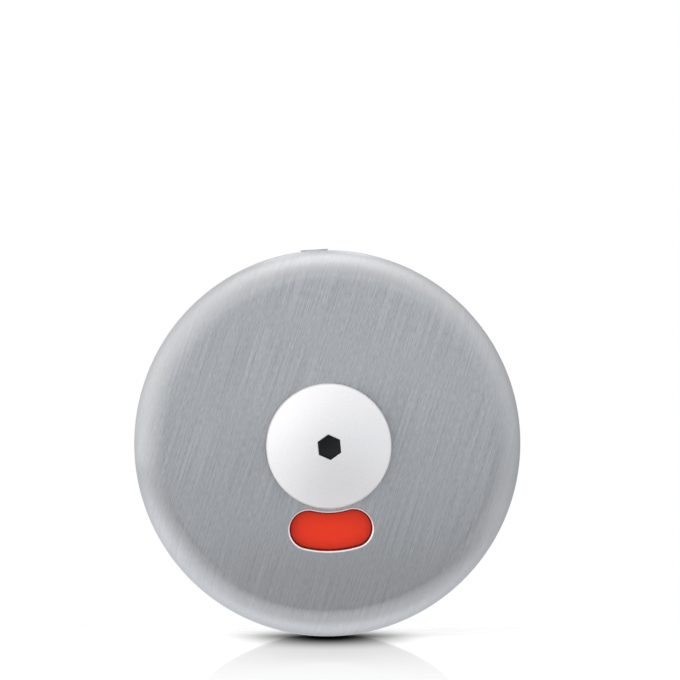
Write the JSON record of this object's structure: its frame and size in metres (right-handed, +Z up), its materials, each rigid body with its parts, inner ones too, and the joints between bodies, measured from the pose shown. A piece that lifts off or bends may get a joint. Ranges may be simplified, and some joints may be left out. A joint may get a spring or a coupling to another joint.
{
  "type": "toilet indicator bolt",
  "caption": "Round brushed-steel toilet indicator bolt with a colour window, a hex release button outside, and a thumb turn inside that drives a sliding bolt by rack and pinion.",
  "frame": {"origin": "on the spindle axis, in the plane of the outer door face", "axes": "+Y along the spindle from the public side into the cubicle, +X towards the strike side, +Z up"},
  "size_m": [0.07, 0.0597, 0.0703],
  "materials": {
    "brushed_stainless": "brushed",
    "polished_metal": "satin plated",
    "die_cast": "as cast",
    "plated_steel": "zinc plated",
    "spring_steel": "blued",
    "brass": "machined",
    "black_nylon": "moulded",
    "white_nylon": "moulded",
    "red_enamel": "satin",
    "green_enamel": "satin"
  },
  "bodies": {
    "lock_body": {"outer_cover": "brushed_stainless", "outer_base": "die_cast", "outer_bush": "brass", "spring_washer": "spring_steel", "fixing_posts": "plated_steel", "fixing_screws": "plated_steel", "inner_base": "die_cast", "inner_bush": "brass", "friction_spring": "spring_steel", "retainer_plate": "plated_steel", "retainer_screws": "plated_steel", "inner_cover": "brushed_stainless", "cover_screws": "plated_steel", "thumb_washer": "white_nylon"},
    "turning_set": {"release_button": "polished_metal", "indicator_disc": "black_nylon", "red_label": "red_enamel", "green_label": "green_enamel", "circlip": "spring_steel", "spindle": "plated_steel", "pinion": "brass", "thumb_turn": "polished_metal", "grub_screw": "plated_steel"},
    "sliding_bolt": {"bolt": "plated_steel"}
  },
  "joints": [
    {"name": "turn", "type": "hinge", "parent": "lock_body", "child": "turning_set", "pos_m": [0, 0, 0], "axis": [0, -1, 0], "range_deg": [0, 90]},
    {"name": "bolt_slide", "type": "slide", "parent": "lock_body", "child": "sliding_bolt", "axis": [-1, 0, 0], "range_m": [0, 0.01021]}
  ],
  "couplings": [
    {"joint": "bolt_slide", "follows": "turn", "m_per_rad": 0.0065}
  ]
}
